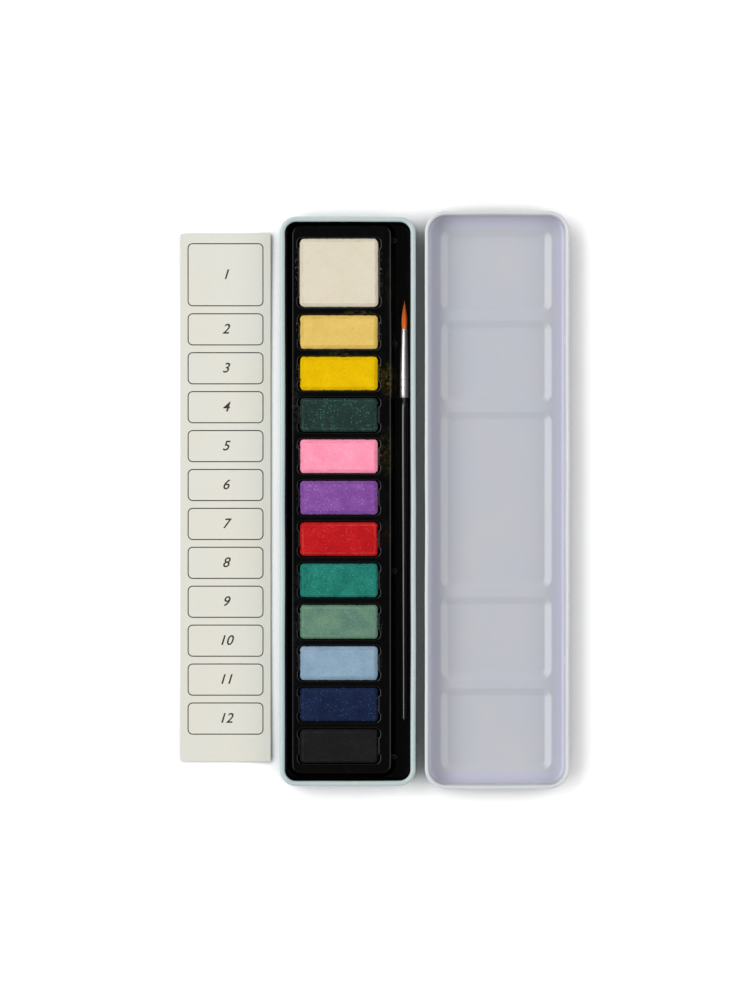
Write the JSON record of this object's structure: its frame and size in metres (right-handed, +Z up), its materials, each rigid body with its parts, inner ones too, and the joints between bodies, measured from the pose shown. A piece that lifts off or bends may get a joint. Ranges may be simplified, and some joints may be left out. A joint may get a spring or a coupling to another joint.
{
  "type": "watercolour paint set",
  "caption": "Slim metal watercolour set laid open: black tray of pressed paint cakes with a brush in its trough, lift-off lid that is a mixing palette, and a colour card.",
  "frame": {"origin": "middle of the tin's flat underside, on the surface that the whole set lies on", "axes": "+Z up, +Y along the tin towards the white cake, +X across it from the colour card to the lid"},
  "size_m": [0.1507, 0.223, 0.011],
  "materials": {
    "tin_lacquer": "satin",
    "lid_lacquer": "satin",
    "tray_polystyrene": "gloss",
    "handle_lacquer": "gloss",
    "ferrule_nickel": "polished",
    "tuft_filament": "satin",
    "card_board": "matte",
    "white_paint": "matte",
    "light_yellow_paint": "matte",
    "yellow_paint": "matte",
    "forest_green_paint": "matte",
    "rose_paint": "matte",
    "purple_paint": "matte",
    "crimson_paint": "matte",
    "teal_green_paint": "matte",
    "sea_green_paint": "matte",
    "sky_blue_paint": "matte",
    "navy_paint": "matte",
    "black_paint": "matte"
  },
  "bodies": {
    "tin": {"tin_base": "tin_lacquer", "insert_tray": "tray_polystyrene", "cake_white": "white_paint", "cake_light_yellow": "light_yellow_paint", "cake_yellow": "yellow_paint", "cake_forest_green": "forest_green_paint", "cake_rose": "rose_paint", "cake_purple": "purple_paint", "cake_crimson": "crimson_paint", "cake_teal_green": "teal_green_paint", "cake_sea_green": "sea_green_paint", "cake_sky_blue": "sky_blue_paint", "cake_navy": "navy_paint", "cake_black": "black_paint"},
    "brush": {"brush_handle": "handle_lacquer", "brush_ferrule": "ferrule_nickel", "brush_tuft": "tuft_filament"},
    "lid": {"mixing_lid": "lid_lacquer"},
    "card": {"colour_card": "card_board"}
  },
  "joints": [
    {"name": "brush_lift", "type": "slide", "parent": "tin", "child": "brush", "axis": [0, 0, 1], "range_m": [0, 0.06]},
    {"name": "lid_lift", "type": "slide", "parent": "tin", "child": "lid", "axis": [0, 0, 1], "range_m": [0, 0.06]},
    {"name": "card_lift", "type": "slide", "parent": "tin", "child": "card", "axis": [0, 0, 1], "range_m": [0, 0.06]}
  ]
}
